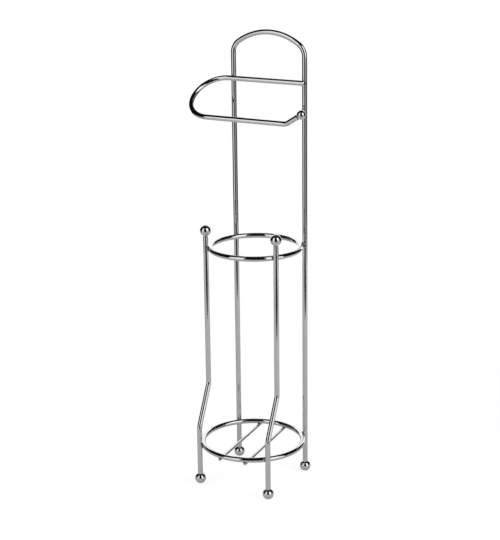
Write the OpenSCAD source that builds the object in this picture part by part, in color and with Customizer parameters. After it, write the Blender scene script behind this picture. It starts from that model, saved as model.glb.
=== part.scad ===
/* [Wire and balls] */
// Diameter of the frame wire
wire_d = 7; // [5.6:0.2:8]
// Diameter of the two wires that the spare rolls stand on
rest_wire_d = 4; // [3:0.2:5]
// Diameter of the finial balls and the foot balls
ball_d = 15; // [12:0.2:18]
// Diameter of the ball at the end of the roll arm
arm_ball_d = 12; // [10:0.2:16]
// Diameter of the flat ground under each foot ball
foot_flat_d = 5; // [3:0.5:7]

/* [Back hoop] */
// Distance between the two uprights, and between the two front legs, on their centre lines
side_spacing = 106.4; // [98:0.4:116]
// Height of the holder, from the floor to the top of the arch
hoop_h = 609; // [595:1:680]
// Radius of the arch's centre line
arch_r = 80; // [60:1:120]
// Radius of the bends between the arch and the uprights
corner_r = 19; // [8:1:36]

/* [Rings] */
// Diameter of the upper ring's centre line
upper_ring_d = 120; // [112:1:130]
// Height of the upper ring's centre line above the floor
upper_ring_z = 326; // [220:1:420]
// Diameter of the lower ring's centre line
lower_ring_d = 137; // [128:1:150]
// Height of the lower ring's centre line above the floor
lower_ring_z = 54; // [36:1:64]

/* [Front legs] */
// Height above the floor at which a front leg starts to slope backwards
jog_z = 81; // [74:1:120]
// Height that the sloping stretch of a front leg gains
jog_rise = 55; // [40:1:90]
// Radius of the two bends in a front leg
jog_bend_r = 25; // [12:1:40]
// Height of a front leg's shoulder above the upper ring's centre line
leg_rise = 17.5; // [8:0.5:60]

/* [Roll arm] */
// How far the crossbar's centre line lies below the top of the arch
bar_drop = 66; // [52:1:110]
// How far the crossbar runs past the left upright before it bends round
loop_past = 3.8; // [1:0.2:20]
// How far the arm lies in front of the crossbar
arm_reach = 59; // [40:1:80]
// How far the arm lies below the crossbar
arm_drop = 43; // [20:1:60]
// Length of the arm's straight stretch, which carries the roll
arm_run = 114; // [100:1:140]
// Radius of the bend at the arm's upturned tip
tip_bend_r = 15; // [8:1:30]
// Angle by which the tip turns up, in degrees
tip_angle = 32; // [15:1:60]
// Length of the upturned tip, from its bend to its shoulder
tip_run = 15.2; // [8:0.2:40]

/* [Rest wires] */
// Distance between the two rest wires on their centre lines
rest_spacing = 37; // [24:1:60]
// Turn of the pair of rest wires about the lower ring's axis, in degrees
rest_turn = 6; // [-15:1:15]
// How far the rest wires run past the lower ring's centre line
rest_past = 2.4; // [0.6:0.2:2.8]

/* [Joints] */
// Depth to which two welded wires sink into each other
weld_sink = 0.7; // [0.2:0.1:1]
// Width of the chamfer round a wire's free end
end_chamfer = 0.7; // [0.4:0.1:1.2]
// Diameter of the spigot on a wire's end that holds a finial or arm ball
spigot_d = 4; // [2.6:0.2:4.2]
// Length of spigot that shows between a shoulder and its ball
neck_gap = 0.5; // [0.2:0.1:3]
// Depth of a finial or arm ball's bore, from the pole of the ball
spigot_in = 6; // [3:0.5:8]
// Depth of a foot ball's bore, from the pole of the ball
foot_in = 8; // [5:0.5:10]
// Radial clearance of a wire or spigot in its ball
ball_fit = 0.05; // [0.02:0.01:0.15]

/* [Hidden] */
$fn = 96;

wire_chrome = [0.74, 0.75, 0.77];
ball_chrome = [0.82, 0.83, 0.85];

// How far a cutting shape runs past what it cuts
cut_past = 2;

// A bend is a hair thicker than the wire, and its neighbours run a little way into it, so that they join cleanly.
bend_swell = 0.02;
bend_d = wire_d + bend_swell;
lap = 0.3;

// The holder is laid out about the middle of the upper ring: x is 0 half way between the sides,
// y is 0 on the upper ring's axis and grows to the rear, and z is 0 on the floor.
post_x = side_spacing / 2;
upper_r = upper_ring_d / 2;
lower_r = lower_ring_d / 2;

// The uprights and legs stand outside the rings and touch them, sunk in by the weld.
weld_span = wire_d - weld_sink;
post_y = sqrt(pow(upper_r + weld_span, 2) - pow(post_x, 2));
lower_dy = sqrt(pow(lower_r + weld_span, 2) - pow(post_x, 2));
lower_ring_y = post_y - lower_dy;
leg_top_y = -post_y;
leg_foot_y = lower_ring_y - lower_dy;

// The arch is tangent to both corner bends, which are tangent to the uprights.
corner_x = post_x - corner_r;
arch_z = hoop_h - wire_d / 2 - arch_r;
corner_z = arch_z + sqrt(pow(arch_r - corner_r, 2) - pow(corner_x, 2));
corner_a = atan2(corner_z - arch_z, corner_x);

// The bends of a front leg lie where its sloping stretch meets the upright ones.
jog_a = atan2(leg_top_y - leg_foot_y, jog_rise);
jog_tangent = jog_bend_r * tan(jog_a / 2);

// The crossbar lies against the front of the uprights, and the arm hangs in front of it and below.
bar_y = post_y - weld_span;
bar_z = hoop_h - bar_drop;
bar_end_x = post_x + wire_d / 2;
loop_x = -post_x - loop_past;
loop_r = norm([arm_reach, arm_drop]) / 2;
loop_tilt = atan2(-arm_drop, -arm_reach);
arm_y = bar_y - arm_reach;
arm_z = bar_z - arm_drop;
tip_x = loop_x + arm_run;
tip_dir = [cos(tip_angle), 0, sin(tip_angle)];
tip_bend_end = [tip_x + tip_bend_r * sin(tip_angle), arm_y, arm_z + tip_bend_r * (1 - cos(tip_angle))];
tip_shoulder = tip_bend_end + tip_run * tip_dir;

// A ball of diameter d has its centre this far past the shoulder of the wire that it sits on.
function seat(d) = neck_gap + sqrt(pow(d / 2, 2) - pow(spigot_d / 2, 2));

// The spigot ends on the floor of that ball's bore.
function spigot_for(d) = seat(d) - d / 2 + spigot_in;

arm_ball_at = tip_shoulder + seat(arm_ball_d) * tip_dir;
shoulder_z = upper_ring_z + leg_rise;
finial_z = shoulder_z + seat(ball_d);

// A foot ball stands on its flat, and its wire ends on the floor of its bore.
foot_z = sqrt(pow(ball_d / 2, 2) - pow(foot_flat_d / 2, 2));
wire_end_z = foot_z + ball_d / 2 - foot_in;

// The rest wires lie under the lower ring and end short of its outer edge.
rest_z = lower_ring_z - (wire_d + rest_wire_d) / 2 + weld_sink;
rest_half = sqrt(pow(lower_r + rest_past, 2) - pow(rest_spacing / 2, 2));

// The origin is the middle of the holder's own box, on the floor.
left_x = loop_x - loop_r - bend_d / 2;
right_x = max(arm_ball_at.x + arm_ball_d / 2, max(upper_r, lower_r) + wire_d / 2);
front_y = lower_ring_y - lower_r - wire_d / 2;
rear_y = max(upper_r, lower_ring_y + lower_r) + wire_d / 2;
middle = [-(left_x + right_x) / 2, -(front_y + rear_y) / 2, 0];

// Stands its children at from, with their z axis towards to
module aim(from, to) {
    run = to - from;
    translate(from)
        rotate([0, acos(run.z / norm(run)), atan2(run.y, run.x)])
            children();
}

// Straight wire from one point to another
module straight(from, to, d = wire_d) {
    aim(from, to)
        cylinder(h = norm(to - from), d = d);
}

// Straight wire whose far end is chamfered and may hold a spigot
module ended_straight(from, to, spigot = 0) {
    run = norm(to - from);
    wire_r = wire_d / 2;
    spigot_r = spigot_d / 2;
    aim(from, to)
        rotate_extrude()
            polygon([
                [0, 0],
                [wire_r, 0],
                [wire_r, run - end_chamfer],
                [wire_r - end_chamfer, run],
                [spigot_r, run],
                [spigot_r, run + spigot],
                [0, run + spigot]
            ]);
}

// Bent wire round the z axis, from angle a0 to angle a1
module bend(r, a0, a1, d = bend_d) {
    rotate([0, 0, a0])
        rotate_extrude(angle = a1 - a0)
            translate([r, 0])
                circle(d = d);
}

// The same bend stood up, so that it lies in the plane of x and z
module upright_bend(r, a0, a1, d = bend_d) {
    rotate([90, 0, 0])
        bend(r, a0, a1, d);
}

// The same bend stood up in the plane of y and z
module side_bend(r, a0, a1) {
    rotate([90, 0, 90])
        bend(r, a0, a1);
}

// Closed ring of wire, level, about its own centre
module hoop_ring(r) {
    rotate_extrude()
        translate([r, 0])
            circle(d = wire_d);
}

// Ball about the origin, bored from its lower pole
module bored_ball(d, bore_d, depth) {
    difference() {
        sphere(d = d);
        translate([0, 0, -d / 2 - cut_past])
            cylinder(h = cut_past + depth, d = bore_d + 2 * ball_fit);
    }
}

// The uprights and legs, at each of the given y, where they pass height z
module posts_at(z, ys) {
    for (side = [-1, 1])
        for (y = ys)
            straight([side * post_x, y, z - wire_d], [side * post_x, y, z + wire_d]);
}

module back_hoop() {
    arch_lap = lap / arch_r * 180 / PI;
    color(wire_chrome)
        translate(middle + [0, post_y, 0]) {
            for (side = [-1, 1])
                straight([side * post_x, 0, wire_end_z], [side * post_x, 0, corner_z + lap]);
            for (turn = [0, 1])
                mirror([turn, 0, 0])
                    translate([corner_x, 0, corner_z])
                        upright_bend(corner_r, 0, corner_a);
            translate([0, 0, arch_z])
                upright_bend(arch_r, corner_a - arch_lap, 180 - corner_a + arch_lap, wire_d);
        }
}

// Crossbar, loop, arm and upturned tip are one bent wire, notched where the uprights are welded to it.
module roll_arm() {
    color(wire_chrome)
        translate(middle)
            difference() {
                union() {
                    ended_straight([loop_x - lap, bar_y, bar_z], [bar_end_x, bar_y, bar_z]);
                    translate([loop_x, bar_y, bar_z])
                        rotate([loop_tilt, 0, 0])
                            translate([0, loop_r, 0])
                                bend(loop_r, 90, 270);
                    straight([loop_x - lap, arm_y, arm_z], [tip_x + lap, arm_y, arm_z]);
                    translate([tip_x, arm_y, arm_z + tip_bend_r])
                        upright_bend(tip_bend_r, -90, tip_angle - 90);
                    ended_straight(tip_bend_end - lap * tip_dir, tip_shoulder, spigot_for(arm_ball_d));
                }
                posts_at(bar_z, [post_y]);
            }
}

module arm_ball() {
    color(ball_chrome)
        translate(middle + arm_ball_at)
            rotate([0, 90 - tip_angle, 0])
                bored_ball(arm_ball_d, spigot_d, spigot_in);
}

module upper_ring() {
    color(wire_chrome)
        translate(middle)
            difference() {
                translate([0, 0, upper_ring_z])
                    hoop_ring(upper_r);
                posts_at(upper_ring_z, [leg_top_y, post_y]);
            }
}

module lower_ring() {
    color(wire_chrome)
        translate(middle)
            difference() {
                translate([0, lower_ring_y, lower_ring_z])
                    hoop_ring(lower_r);
                posts_at(lower_ring_z, [leg_foot_y, post_y]);
            }
}

// A rest wire has a saddle at each end, where it is welded under the lower ring.
module rest_wire(side) {
    color(wire_chrome)
        translate(middle + [0, lower_ring_y, 0])
            difference() {
                rotate([0, 0, rest_turn])
                    straight(
                        [side * rest_spacing / 2, -rest_half, rest_z],
                        [side * rest_spacing / 2, rest_half, rest_z],
                        rest_wire_d
                    );
                translate([0, 0, lower_ring_z])
                    hoop_ring(lower_r);
            }
}

module rest_wire_left() {
    rest_wire(-1);
}

module rest_wire_right() {
    rest_wire(1);
}

// A front leg rises from its foot, slopes back above the lower ring and rises again past the upper ring.
module front_leg(side) {
    low_bend = [0, leg_foot_y, jog_z];
    high_bend = [0, leg_top_y, jog_z + jog_rise];
    slope = [0, sin(jog_a), cos(jog_a)];
    up = [0, 0, 1];
    color(wire_chrome)
        translate(middle + [side * post_x, 0, 0]) {
            straight([0, leg_foot_y, wire_end_z], low_bend - (jog_tangent - lap) * up);
            translate(low_bend + [0, jog_bend_r, -jog_tangent])
                side_bend(jog_bend_r, 180 - jog_a, 180);
            straight(low_bend + (jog_tangent - lap) * slope, high_bend - (jog_tangent - lap) * slope);
            translate(high_bend + [0, -jog_bend_r, jog_tangent])
                side_bend(jog_bend_r, -jog_a, 0);
            ended_straight(
                high_bend + (jog_tangent - lap) * up,
                [0, leg_top_y, shoulder_z],
                spigot_for(ball_d)
            );
        }
}

module front_leg_left() {
    front_leg(-1);
}

module front_leg_right() {
    front_leg(1);
}

module finial(side) {
    color(ball_chrome)
        translate(middle + [side * post_x, leg_top_y, finial_z])
            bored_ball(ball_d, spigot_d, spigot_in);
}

module finial_left() {
    finial(-1);
}

module finial_right() {
    finial(1);
}

// A foot ball is bored from above and ground flat below.
module foot(side, y) {
    color(ball_chrome)
        translate(middle + [side * post_x, y, foot_z])
            difference() {
                mirror([0, 0, 1])
                    bored_ball(ball_d, wire_d, foot_in);
                translate([0, 0, -foot_z - cut_past])
                    cylinder(h = cut_past, d = ball_d);
            }
}

module foot_front_left() {
    foot(-1, leg_foot_y);
}

module foot_front_right() {
    foot(1, leg_foot_y);
}

module foot_rear_left() {
    foot(-1, post_y);
}

module foot_rear_right() {
    foot(1, post_y);
}

back_hoop();
roll_arm();
arm_ball();
upper_ring();
lower_ring();
rest_wire_left();
rest_wire_right();
front_leg_left();
front_leg_right();
finial_left();
finial_right();
foot_front_left();
foot_front_right();
foot_rear_left();
foot_rear_right();
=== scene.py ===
import math

import bpy
from mathutils import Matrix, Vector


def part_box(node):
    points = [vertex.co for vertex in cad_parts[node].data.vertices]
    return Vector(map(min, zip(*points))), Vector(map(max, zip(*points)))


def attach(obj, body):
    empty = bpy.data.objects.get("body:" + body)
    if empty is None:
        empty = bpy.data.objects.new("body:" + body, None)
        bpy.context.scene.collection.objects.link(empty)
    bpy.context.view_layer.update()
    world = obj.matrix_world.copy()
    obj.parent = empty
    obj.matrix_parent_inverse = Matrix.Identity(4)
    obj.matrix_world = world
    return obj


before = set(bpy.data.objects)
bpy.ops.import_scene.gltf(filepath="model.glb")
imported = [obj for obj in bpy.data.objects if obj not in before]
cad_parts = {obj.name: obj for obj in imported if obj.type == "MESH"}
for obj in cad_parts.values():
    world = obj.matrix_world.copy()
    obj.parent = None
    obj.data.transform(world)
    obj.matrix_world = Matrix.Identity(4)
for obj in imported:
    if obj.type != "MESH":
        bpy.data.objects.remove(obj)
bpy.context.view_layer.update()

UP = Vector((0, 0, 1))
SIDES = ("left", "right")

# The camera stands in front of the holder and to its right, a little above it.
LENS_MM = 94.53
SENSOR_MM = 36
CLIP_END = 20
CAMERA_AZIMUTH = math.radians(30.33)
CAMERA_ELEVATION = math.radians(16.24)
CAMERA_ROLL = math.radians(0.734)
CAMERA_DISTANCE = 1.892
AIM = Vector((-0.0019, 0.0056, 0.2944))

# The pale table top that the holder stands on, a leaf at its right front corner, and beside it a dark strip
# of painted shadow.
# They are measured across and along the table, which is turned about the holder.
TABLE_TURN = math.radians(44)
PALE = (0.75, 0.75, 0.75, 1)
# This dark colour is painted shadow, for the strip beside the table.
PAINTED_SHADOW_DARK = (0.02, 0.02, 0.02, 1)
FLOORS = {
    "table": {"across": (-1.2, 1.12), "along": (-0.69, 1.05), "height": 0, "color": PALE},
    "leaf": {"across": (0.63, 1.12), "along": (-1.1, -0.69), "height": 0, "color": PALE},
    # A dark strip of painted shadow beside the table's edge, which the metal mirrors.
    "cloth": {"across": (-0.3, 0.63), "along": (-1.25, -0.69), "height": -0.001, "color": PAINTED_SHADOW_DARK},
}

# The camera sees a white floor with the holder's shadow on it, which fades out between these distances.
SHADOW_REACH = (0.3, 0.6)
SHADOW_COLOR = (0.3, 0.3, 0.3, 1)
SHADOW_GLOW = 0.8

# What the metal sees around the table, in degrees.
# Azimuth is 0 toward the camera and grows to the camera's right.
WINDOWS = {
    "left box": {"azimuth": (-66, -29), "elevation": (-7, 42), "strength": 1.15},
    "left lamp": {"azimuth": (-57, -31), "elevation": (42, 55), "strength": 1.1},
    "right box": {"azimuth": (25, 69), "elevation": (-7, 52), "strength": 1.3},
    "right lamp": {"azimuth": (27, 60), "elevation": (28, 50), "strength": 0.6},
    "backdrop": {"azimuth": (142, 218), "elevation": (-18, 38), "strength": 1.3},
    "left floor": {"azimuth": (-64, -27), "elevation": (-90, -7), "strength": 0.7},
    "right floor": {"azimuth": (23, 69), "elevation": (-90, -7), "strength": 0.27},
    # These two are painted sheen: the floor's gloss mirroring the boxes, given as brighter patches below the
    # horizon.
    "left painted sheen": {"azimuth": (-48, -27), "elevation": (-90, -7), "strength": 0.33},
    "right painted sheen": {"azimuth": (23, 48), "elevation": (-90, -7), "strength": 0.12},
    "floor": {"azimuth": (-400, 400), "elevation": (-90, -6), "strength": 0.04},
}
WINDOW_BLUR = 4
WHITE = (1, 1, 1, 1)
FLAG_COLOR = (0.006, 0.006, 0.0065, 1)
FILL_STRENGTH = 0.55

# Two soft lamps light the floors. The metal doesn't mirror them.
LAMP_AIM = Vector((0, 0, 0.3))
LAMPS = {
    "lamp_left": {"place": Vector((-0.9, -1.6, 1.3)), "size": 1.2, "power": 8},
    "lamp_right": {"place": Vector((1.6, 0, 0.9)), "size": 1, "power": 10},
}

# Polished chrome, with a ripple left in the wire by drawing and a finer one on the balls.
# The seams are rougher, and their darker colour is painted shade of the crevices where the wires meet.
CHROME = (0.64, 0.65, 0.66)
CHROME_SHADES = (0.97, 1.03)
CHROME_ROUGHNESS = (0.015, 0.05)
TINT_SCALE = 40.0
HAZE_SCALE = 900.0
# The seam colour is painted shade of the crevices between the wires.
SEAM_PAINTED_SHADE = (0.25, 0.255, 0.26)
SEAM_ROUGHNESS = (0.15, 0.35)
WIRE_RIPPLES = {"scale": 300, "height": 0.00002}
BALL_RIPPLES = {"scale": 500, "height": 0.000008}
SEAM_RIPPLES = {"scale": 1500, "height": 0.00008}
BALL_NAMES = ("foot_", "finial_", "arm_ball")

# The concave seams of the welds: their radius, the smaller one at the crossbar's end, the steps round a
# seam, the steps across it, and the depth of its root inside the wire
WELD_RADIUS = 0.001
BAR_END_RADIUS = 0.0004
WELD_STEPS = 64
WELD_ARC = 6
WELD_ROOT = 0.0006
STRAIGHT = Vector((0, 0, 0))

# The rest wires run to the rear, turned by this about the lower ring's axis.
REST_TURN = math.radians(6)


class Tree:
    """Adds nodes to a node tree, with each value given as a number, a colour or another node's output."""

    def __init__(self, owner):
        owner.use_nodes = True
        self.tree = owner.node_tree
        self.tree.nodes.clear()

    def add(self, kind, settings=(), **values):
        made = self.tree.nodes.new(kind)
        for key, value in dict(settings).items():
            setattr(made, key, value)
        for key, value in values.items():
            self.put(made.inputs[key.replace("_", " ")], value)
        return made

    def put(self, socket, value):
        if isinstance(value, bpy.types.NodeSocket):
            self.tree.links.new(value, socket)
        else:
            socket.default_value = value

    def join(self, kind, values):
        """The output of a new node whose inputs are these values, in their order."""
        made = self.tree.nodes.new(kind)
        for socket, value in zip(made.inputs, values):
            self.put(socket, value)
        return made.outputs[0]

    def math(self, operation, *values):
        joined = self.join("ShaderNodeMath", values)
        joined.node.operation = operation
        return joined

    def mix(self, share, first, second):
        """The first shader where share is 0, and the second where it is 1."""
        return self.join("ShaderNodeMixShader", (share, first, second))

    def sum(self, first, second):
        return self.join("ShaderNodeAddShader", (first, second))

    def glow(self, kind, color, strength):
        return self.add(kind, Color=color, Strength=strength).outputs[0]

    def ramp(self, value, start, end):
        """0 where value is at start and 1 where it is at end, with a smooth way between."""
        made = self.add("ShaderNodeMapRange", {"interpolation_type": "SMOOTHSTEP"}, Value=value)
        made.inputs["From Min"].default_value = start
        made.inputs["From Max"].default_value = end
        return made.outputs[0]

    def band(self, value, low, high, blur):
        """1 where value is between low and high, with edges blur wide."""
        half = blur / 2
        rise = self.ramp(value, low - half, low + half)
        fall = self.ramp(value, high + half, high - half)
        return self.math("MULTIPLY", rise, fall)

    def spread(self, value, ends):
        """A value between 0 and 1, stretched to lie between the two ends."""
        made = self.add("ShaderNodeMapRange", Value=value)
        made.inputs["To Min"].default_value, made.inputs["To Max"].default_value = ends
        return made.outputs[0]

    def output(self, kind, shader):
        self.put(self.add(kind).inputs["Surface"], shader)


def make_camera():
    azimuth, elevation = CAMERA_AZIMUTH, CAMERA_ELEVATION
    forward = Vector((
        -math.sin(azimuth) * math.cos(elevation),
        math.cos(azimuth) * math.cos(elevation),
        -math.sin(elevation),
    ))
    right = Vector((math.cos(azimuth), math.sin(azimuth), 0))
    up = right.cross(forward)
    tilted_right = math.cos(CAMERA_ROLL) * right - math.sin(CAMERA_ROLL) * up
    tilted_up = math.sin(CAMERA_ROLL) * right + math.cos(CAMERA_ROLL) * up
    data = bpy.data.cameras.new("camera")
    data.lens = LENS_MM
    data.sensor_width = SENSOR_MM
    data.clip_end = CLIP_END
    camera = bpy.data.objects.new("camera", data)
    turn = Matrix((tilted_right, tilted_up, -forward)).transposed().to_4x4()
    camera.matrix_world = Matrix.Translation(AIM - CAMERA_DISTANCE * forward) @ turn
    bpy.context.scene.collection.objects.link(camera)
    bpy.context.scene.camera = camera


def window_light(t):
    """How brightly the windows shine toward the holder from each way."""
    way = t.add("ShaderNodeTexCoord").outputs["Generated"]
    turned = t.add("ShaderNodeVectorRotate", {"rotation_type": "Z_AXIS"}, Vector=way, Angle=-CAMERA_AZIMUTH)
    axis = t.add("ShaderNodeSeparateXYZ", Vector=turned.outputs[0])
    to_right, to_rear, upward = axis.outputs
    azimuth = t.math("DEGREES", t.math("ARCTAN2", to_right, t.math("MULTIPLY", to_rear, -1.0)))
    elevation = t.math("DEGREES", t.math("ARCSINE", upward))
    # Windows that reach behind the holder use an azimuth that runs from 0 to 360.
    behind = t.math("ADD", azimuth, t.math("MULTIPLY", t.math("LESS_THAN", azimuth, 0.0), 360.0))
    lit = 0.0
    for window in WINDOWS.values():
        low, high = window["azimuth"]
        across = t.band(behind if high > 180 else azimuth, low, high, WINDOW_BLUR)
        along = t.band(elevation, *window["elevation"], WINDOW_BLUR)
        shown = t.math("MULTIPLY", across, along)
        lit = t.math("ADD", lit, t.math("MULTIPLY", shown, window["strength"]))
    return lit


def make_world():
    """White to the camera. The metal sees the windows between dark flags. The floors get an even fill."""
    world = bpy.data.worlds.new("studio")
    bpy.context.scene.world = world
    t = Tree(world)
    kind = "ShaderNodeBackground"
    lit = window_light(t)
    studio = t.sum(t.glow(kind, FLAG_COLOR, 1.0), t.glow(kind, WHITE, lit))
    path = t.add("ShaderNodeLightPath")
    unseen = t.mix(path.outputs["Is Glossy Ray"], t.glow(kind, WHITE, FILL_STRENGTH), studio)
    clear = t.math("MAXIMUM", path.outputs["Is Camera Ray"], path.outputs["Is Transmission Ray"])
    t.output("ShaderNodeOutputWorld", t.mix(clear, unseen, t.glow(kind, WHITE, 1.0)))


def floor_material(name, color):
    """A plain surface of this colour to the metal and the lamps, and white with a shadow to the camera."""
    material = bpy.data.materials.new(name)
    t = Tree(material)
    kind = "ShaderNodeEmission"
    plain = t.add("ShaderNodeBsdfDiffuse", Color=color).outputs[0]
    shade = t.add("ShaderNodeBsdfDiffuse", Color=SHADOW_COLOR).outputs[0]
    shown = t.sum(shade, t.glow(kind, WHITE, SHADOW_GLOW))
    reach = t.add("ShaderNodeVectorMath", {"operation": "LENGTH"})
    t.put(reach.inputs[0], t.add("ShaderNodeTexCoord").outputs["Object"])
    far = t.ramp(reach.outputs["Value"], *SHADOW_REACH)
    fading = t.mix(far, shown, t.glow(kind, WHITE, 1.0))
    path = t.add("ShaderNodeLightPath")
    t.output("ShaderNodeOutputMaterial", t.mix(path.outputs["Is Camera Ray"], plain, fading))
    return material


def make_floor(name, across, along, height, color):
    mesh = bpy.data.meshes.new(name)
    corners = [(x, y, height) for y in along for x in across]
    mesh.from_pydata(corners, [], [(0, 1, 3, 2)])
    mesh.materials.append(floor_material(name, color))
    floor = bpy.data.objects.new(name, mesh)
    floor.rotation_euler.z = TABLE_TURN
    bpy.context.scene.collection.objects.link(floor)


def make_lamp(name, place, size, power):
    data = bpy.data.lights.new(name, "AREA")
    data.size = size
    data.energy = power
    lamp = bpy.data.objects.new(name, data)
    lamp.location = place
    lamp.rotation_euler = (LAMP_AIM - lamp.location).to_track_quat("-Z", "Y").to_euler()
    lamp.visible_glossy = False
    bpy.context.scene.collection.objects.link(lamp)


def chrome_material(name, ripples, base=CHROME, roughness=CHROME_ROUGHNESS):
    material = bpy.data.materials.new(name)
    t = Tree(material)
    place = t.add("ShaderNodeTexCoord").outputs["Object"]
    tint = t.add("ShaderNodeTexNoise", Vector=place, Scale=TINT_SCALE, Detail=2.0).outputs[0]
    color = t.add("ShaderNodeVectorMath", {"operation": "SCALE"}, Scale=t.spread(tint, CHROME_SHADES))
    color.inputs[0].default_value = base
    haze = t.add("ShaderNodeTexNoise", Vector=place, Scale=HAZE_SCALE, Detail=3.0).outputs[0]
    wave = t.add("ShaderNodeTexNoise", Vector=place, Scale=float(ripples["scale"]), Detail=1.0).outputs[0]
    bump = t.add("ShaderNodeBump", Distance=ripples["height"], Height=wave)
    shader = t.add("ShaderNodeBsdfPrincipled", Metallic=1.0, Roughness=t.spread(haze, roughness))
    t.put(shader.inputs["Base Color"], color.outputs[0])
    t.put(shader.inputs["Normal"], bump.outputs[0])
    t.output("ShaderNodeOutputMaterial", shader.outputs[0])
    return material


def middle(name):
    low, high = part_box(name)
    return (Vector(low) + Vector(high)) / 2


def ring_size(name):
    """Middle of a ring, radius of its centre line, and radius of its wire."""
    low, high = (Vector(c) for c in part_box(name))
    wire = (high.z - low.z) / 2
    return (low + high) / 2, (high.x - low.x) / 2 - wire, wire


def weld_section(turn, first, second, across, radii, bend, radius):
    """One section of a seam, from inside the first wire over the hollow surface to inside the second.

    turn is the angle round the seam. The points are measured from the first wire's centre line.
    """
    span = across.length
    normal = across / span
    first_reach = radii[0] + radius
    second_reach = radii[1] + radius
    first_side = normal.cross(first)
    second_side = normal.cross(second)
    lean = math.acos((span - second_reach) / first_reach) * math.sin(turn)
    rise = first_reach * math.cos(lean)
    from_first = first_reach * math.sin(lean)
    from_second = math.copysign(math.sqrt(max(second_reach ** 2 - (rise - span) ** 2, 0)), math.cos(turn))
    grid = Matrix((
        (first_side.dot(first), first_side.dot(second)),
        (second_side.dot(first), second_side.dot(second)),
    ))
    along_first, along_second = grid.inverted() @ Vector((from_first, from_second))
    center = rise * normal + along_first * first + along_second * second
    on_first = center.dot(first) * first
    on_second = across + (center - across).dot(second) * second
    to_first = (on_first - center).normalized()
    to_second = (on_second - center).normalized()
    sag = bend * center.dot(first) ** 2
    opening = to_first.angle(to_second)
    points = [on_first - (radii[0] - WELD_ROOT) * to_first + sag]
    for part in range(WELD_ARC + 1):
        share = part / WELD_ARC
        way = math.sin((1 - share) * opening) * to_first + math.sin(share * opening) * to_second
        points.append(center + radius / math.sin(opening) * way + (1 - share) * sag)
    points.append(on_second - (radii[1] - WELD_ROOT) * to_second)
    return points


def make_weld(name, material, at, first, second, across, radii, bend=STRAIGHT, radius=WELD_RADIUS):
    """The seam that a rolling ball leaves in the notch between two crossing wires.

    The first wire's centre line runs through at, along first. The second's runs along second, through
    at + across. bend points to the middle of the first wire's curve, and its length is half the curvature.
    """
    verts = []
    for step in range(WELD_STEPS):
        turn = 2 * math.pi * step / WELD_STEPS
        section = weld_section(turn, first, second, across, radii, bend, radius)
        verts.extend(at + point for point in section)
    # A section has the points of its arc and a root point at either end.
    row = WELD_ARC + 3
    faces = []
    for step in range(WELD_STEPS):
        here = step * row
        there = (step + 1) % WELD_STEPS * row
        for part in range(row):
            beside = (part + 1) % row
            faces.append((here + part, here + beside, there + beside, there + part))
    mesh = bpy.data.meshes.new(name)
    mesh.from_pydata(verts, [], faces)
    mesh.polygons.foreach_set("use_smooth", [True] * len(faces))
    # The two rims, where the hollow surface meets the wires, are sharp.
    for edge in mesh.edges:
        parts = {index % row for index in edge.vertices}
        edge.use_edge_sharp = parts in ({1}, {row - 2})
    mesh.materials.append(material)
    weld = bpy.data.objects.new(name, mesh)
    bpy.context.scene.collection.objects.link(weld)
    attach(weld, "root")


def weld_rings(material):
    for ring, front in (("upper_ring", "finial_"), ("lower_ring", "foot_front_")):
        center, reach, wire = ring_size(ring)
        for side in SIDES:
            for post, end in (("front", front + side), ("rear", "foot_rear_" + side)):
                away = middle(end) - center
                away.z = 0
                outward = away.normalized()
                at = center + reach * outward
                around = UP.cross(outward)
                across = away - reach * outward
                bend = -outward / (2 * reach)
                make_weld(f"weld_{ring}_{post}_{side}", material, at, around, UP, across, (wire, wire), bend)


def weld_crossbar(material):
    """The crossbar ends at the right upright, so its seam there is small."""
    wire = ring_size("upper_ring")[2]
    bar = Vector(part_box("roll_arm")[1]) - Vector((wire, wire, wire))
    along = Vector((1, 0, 0))
    for side, radius in (("left", WELD_RADIUS), ("right", BAR_END_RADIUS)):
        upright = middle("foot_rear_" + side)
        at = Vector((upright.x, bar.y, bar.z))
        across = Vector((0, upright.y - bar.y, 0))
        make_weld(f"weld_crossbar_{side}", material, at, along, UP, across, (wire, wire), radius=radius)


def weld_rest_wires(material):
    """Each rest wire crosses under the lower ring twice, at its front and at its rear."""
    center, reach, wire = ring_size("lower_ring")
    along = Vector((-math.sin(REST_TURN), math.cos(REST_TURN), 0))
    for side in SIDES:
        name = "rest_wire_" + side
        low, high = (Vector(c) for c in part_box(name))
        thin = (high.z - low.z) / 2
        away = (low + high) / 2 - center
        across = Vector((0, 0, away.z))
        away.z = 0
        half = math.sqrt(reach ** 2 - away.length_squared + away.dot(along) ** 2)
        for end, run in (("front", -half), ("rear", half)):
            spot = away + (run - away.dot(along)) * along
            outward = spot.normalized()
            around = UP.cross(outward)
            bend = -outward / (2 * reach)
            at = center + spot
            make_weld(f"weld_{name}_{end}", material, at, around, along, across, (wire, thin), bend)


def main():
    bpy.context.scene.view_settings.view_transform = "Standard"
    make_camera()
    make_world()
    for name, floor in FLOORS.items():
        make_floor(name, **floor)
    for name, lamp in LAMPS.items():
        make_lamp(name, **lamp)
    wire_chrome = chrome_material("wire_chrome", WIRE_RIPPLES)
    ball_chrome = chrome_material("ball_chrome", BALL_RIPPLES)
    seam_chrome_painted_shade = chrome_material("seam_chrome_painted_shade", SEAM_RIPPLES, SEAM_PAINTED_SHADE, SEAM_ROUGHNESS)
    for name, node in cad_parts.items():
        node.data.materials.clear()
        node.data.materials.append(ball_chrome if name.startswith(BALL_NAMES) else wire_chrome)
    weld_rings(seam_chrome_painted_shade)
    weld_crossbar(seam_chrome_painted_shade)
    weld_rest_wires(seam_chrome_painted_shade)


main()
